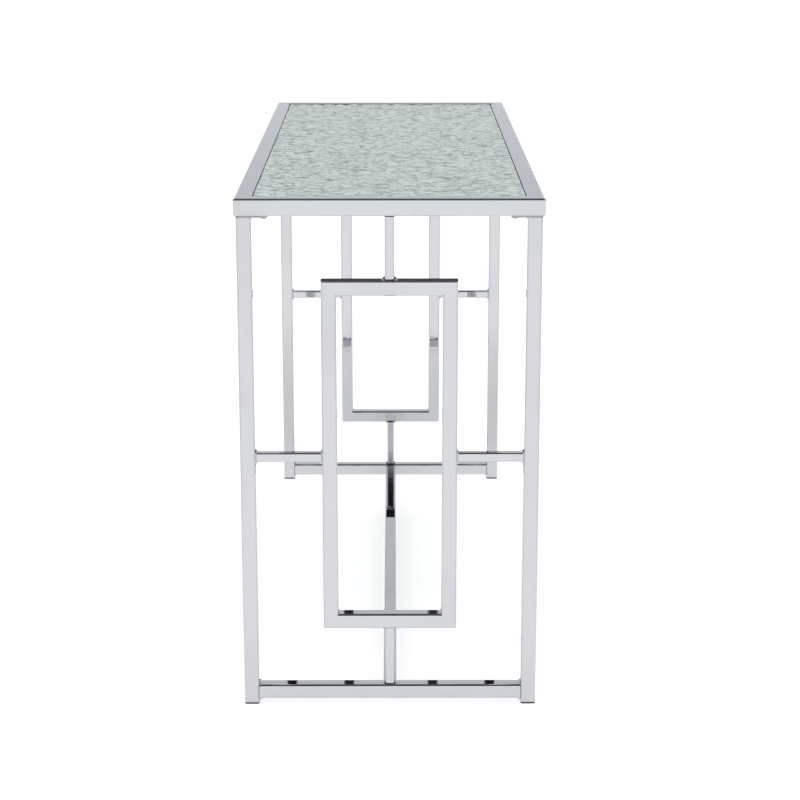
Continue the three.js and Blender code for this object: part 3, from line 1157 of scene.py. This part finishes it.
# %% [markdown]
# ## Studio
#
# Chrome only looks as good as the room it mirrors, so the room is designed. The white floor
# gives the bars' upright faces their even pale tone. Past the left end there is a light
# backdrop, which the rim's upper faces mirror as a middle grey. Past the right end the room
# goes dark from about 16 degrees above level, and that dark draws a thin black line along
# every rounded upper edge and the black patches on the floor rails. The ceiling is dark, apart
# from one soft panel straight overhead and one high on each long side, which keep the rim pale
# when it is seen from above or from a corner. Real walls and panels would block the other
# views, so all of this is a set of gradients in the world, by where a ray looks. A stop's
# place on a ramp is 0 for straight down, 0.5 for level and 1 for straight up.

# %% World gradient
CEILING = (
    (0.975, (0.03, 0.03, 0.033)),
    (0.993, (0.26, 0.26, 0.27)),
    (1.00, (0.36, 0.36, 0.37)),
)
BACKDROP = (
    (0.00, (1.00, 1.00, 1.01)),
    (0.50, (0.90, 0.91, 0.93)),
    (0.53, (0.58, 0.60, 0.63)),
    (0.58, (0.52, 0.54, 0.57)),
    (0.69, (0.59, 0.605, 0.63)),
    (0.735, (0.48, 0.49, 0.52)),
    (0.785, (0.07, 0.073, 0.08)),
    (0.84, (0.025, 0.025, 0.028)),
    *CEILING,
)
DIM_SIDE = (
    (0.00, (1.00, 1.00, 1.01)),
    (0.6392, (0.98, 0.98, 1.00)),
    (0.6412, (0.015, 0.015, 0.018)),
    *CEILING,
)
DIM_SIDE_SPAN = (0.35, 0.75)
SIDE_PANEL = (0.50, 0.51, 0.53)
SIDE_PANEL_SPAN = (0.3, 0.5)
SIDE_PANEL_RISE = (0.68, 0.74)
STUDIO_STRENGTH = 1.25


def make_world():
    world = bpy.data.worlds.new("studio")
    world.use_nodes = True
    bpy.context.scene.world = world
    recipe = Recipe(world.node_tree)
    direction = recipe.node("ShaderNodeTexCoord").outputs["Generated"]
    apart = recipe.node("ShaderNodeSeparateXYZ", {}, {0: direction})
    upward = Value(recipe, apart.outputs["Z"]) * 0.5 + 0.5
    forward = Value(recipe, apart.outputs["X"])
    sideways = Value(recipe, apart.outputs["Y"])
    backdrop = recipe.node("ShaderNodeValToRGB", {"stops": BACKDROP}, {0: upward}).outputs["Color"]
    dim_side = recipe.node("ShaderNodeValToRGB", {"stops": DIM_SIDE}, {0: upward}).outputs["Color"]
    ends = recipe.blend(recipe.between(forward, *DIM_SIDE_SPAN), backdrop, dim_side)
    beside = recipe.between(abs(sideways), *SIDE_PANEL_SPAN)
    high_up = recipe.between(upward, *SIDE_PANEL_RISE)
    sky = recipe.blend(beside * high_up, ends, SIDE_PANEL)
    background = world.node_tree.nodes["Background"]
    background.inputs["Strength"].default_value = STUDIO_STRENGTH
    recipe.feed(background.inputs["Color"], sky)
    print("world stops:", len(BACKDROP) + len(DIM_SIDE))


make_world()
bpy.context.scene.view_settings.view_transform = "Standard"

# %% [markdown]
# The floor is a wide pale disc with painted light: it glows a little, so it shows clean white
# with only faint contact shadows. Chrome mirrors barely more than half of what it sees, and so
# the glow is what keeps the upright faces bright. The glow is a painted pool of light past each
# end of the table. Under the glass it is a painted shade of the glass, and far out on either
# side it fades; there it is weaker and a little green. The broad overhead light shines on the
# glass and the floor, and the chrome doesn't mirror it.

# %% Floor and light
FLOOR_RADIUS = 60.0
FLOOR_COLOUR = (0.40, 0.40, 0.404)
FLOOR_GLOW = 0.81
POOL_GLOW = (1.0, 1.0, 1.01)
SHADED_GLOW = (0.78, 0.795, 0.79)
LEFT_POOL_ENDS = (-0.55, -0.3)
RIGHT_POOL_STARTS = (0.1, 0.9)
POOL_SIDES = (0.3, 1.2)
OVERHEAD_POWER = 2.42
OVERHEAD_SPREAD = 130
OVERHEAD_TILT = (8, 12)


def make_floor():
    mesh = bpy.data.meshes.new("floor")
    shape = bmesh.new()
    bmesh.ops.create_circle(shape, cap_ends=True, segments=96, radius=FLOOR_RADIUS)
    shape.to_mesh(mesh)
    shape.free()
    uniform = {"Base Color": FLOOR_COLOUR, "Roughness": 0.9, "Specular IOR Level": 0.0}
    finish = Finish("floor_paint_and_painted_glow", {**uniform, "Emission Strength": FLOOR_GLOW})
    apart = finish.node("ShaderNodeSeparateXYZ", {}, {0: finish.place()})
    along = Value(finish, apart.outputs["X"])
    across = Value(finish, apart.outputs["Y"])
    # Under the glass the glow is a painted shade of the table; far out on either side the painted pool
    # fades.
    painted_shade_under_top = finish.between(along, *LEFT_POOL_ENDS) * (1 - finish.between(along, *RIGHT_POOL_STARTS))
    near_middle = 1 - finish.between(abs(across), *POOL_SIDES)
    glow = finish.blend((1 - painted_shade_under_top) * near_middle, SHADED_GLOW, POOL_GLOW)
    mesh.materials.append(finish.paint(Emission_Color=glow))
    floor = bpy.data.objects.new("floor", mesh)
    bpy.context.scene.collection.objects.link(floor)
    return floor


def make_overhead():
    light = bpy.data.lights.new("overhead", "SUN")
    light.energy = OVERHEAD_POWER
    light.angle = math.radians(OVERHEAD_SPREAD)
    overhead = bpy.data.objects.new("overhead", light)
    overhead.rotation_euler = (*map(math.radians, OVERHEAD_TILT), 0)
    overhead.visible_glossy = False
    bpy.context.scene.collection.objects.link(overhead)
    return overhead


floor = make_floor()
overhead = make_overhead()
print("floor radius:", FLOOR_RADIUS, "m, overhead light:", overhead.data.energy)
